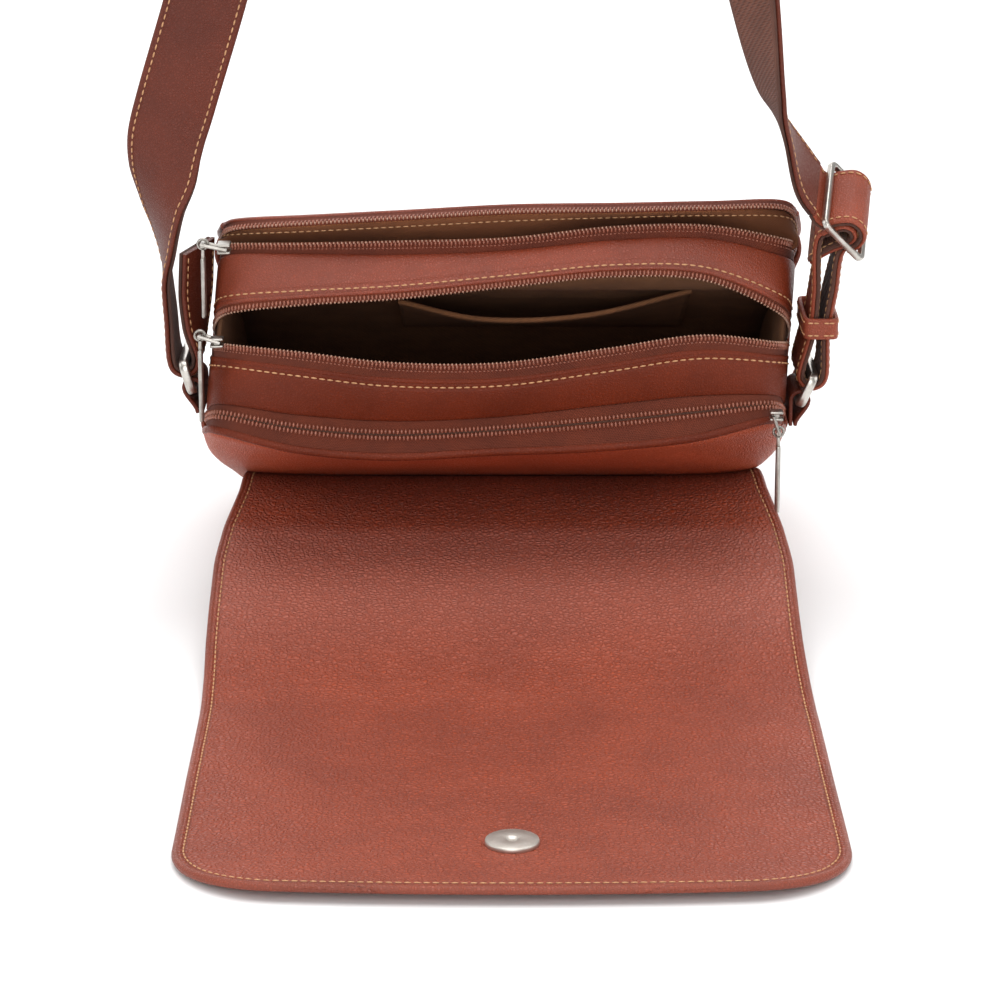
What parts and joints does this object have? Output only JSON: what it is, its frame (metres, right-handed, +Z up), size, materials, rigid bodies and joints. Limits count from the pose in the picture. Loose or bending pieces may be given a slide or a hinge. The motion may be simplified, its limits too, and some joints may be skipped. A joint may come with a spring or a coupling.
{
  "type": "crossbody bag",
  "caption": "Leather crossbody bag with stacked zipped compartments, a flap laid open to show its magnetic snap, and an adjustable shoulder strap held up by its crest.",
  "frame": {"origin": "underside of the strap's crest, where a shoulder or hook holds the bag up", "axes": "+Z up along the strap, +X to the bag's right as its mouth is seen, +Y from the mouth to the bag's bottom"},
  "size_m": [0.2805, 0.4698, 0.7034],
  "materials": {
    "leather": "red-brown pebbled cowhide, satin",
    "lining": "olive-tan twill",
    "zip": "brown woven tape with a copper-brown coil",
    "webbing": "mauve-brown woven webbing",
    "nickel": "satin nickel plate"
  },
  "bodies": {
    "bag": {"back_panel": "leather", "divider_back": "leather", "divider_front": "leather", "front_panel": "leather", "gusset_back": "leather", "gusset_main": "leather", "gusset_front": "leather", "zip_back": "zip", "band_back": "leather", "zip_main_near": "zip", "zip_main_far": "zip", "band_front": "leather", "zip_front_near": "zip", "zip_front_far": "zip", "lining_main": "lining", "lining_front": "lining", "inner_pocket": "lining", "snap_socket": "nickel", "flap": "leather", "snap_disc": "nickel", "ring_left": "nickel", "ring_tab_left": "leather", "ring_right": "nickel", "ring_tab_right": "leather", "strap_leather": "leather", "strap_webbing": "webbing", "strap_loop": "leather", "keeper": "leather", "slide_buckle": "nickel", "slider_back": "nickel", "slider_main": "nickel", "slider_front": "nickel"},
    "back_pull": {"pull_back": "nickel"},
    "main_pull": {"pull_main": "nickel"},
    "front_pull": {"pull_front": "nickel"}
  },
  "joints": [
    {"name": "back_pull_swing", "type": "hinge", "parent": "bag", "child": "back_pull", "pos_m": [0.0835, -0.0289, -0.617], "axis": [0, -1, 0], "range_deg": [0, 120]},
    {"name": "main_pull_swing", "type": "hinge", "parent": "bag", "child": "main_pull", "pos_m": [-0.1329, -0.026, -0.5805], "axis": [0, 1, 0], "range_deg": [0, 150]},
    {"name": "front_pull_swing", "type": "hinge", "parent": "bag", "child": "front_pull", "pos_m": [-0.1319, -0.0156, -0.548], "axis": [0, 1, 0], "range_deg": [0, 120]}
  ]
}
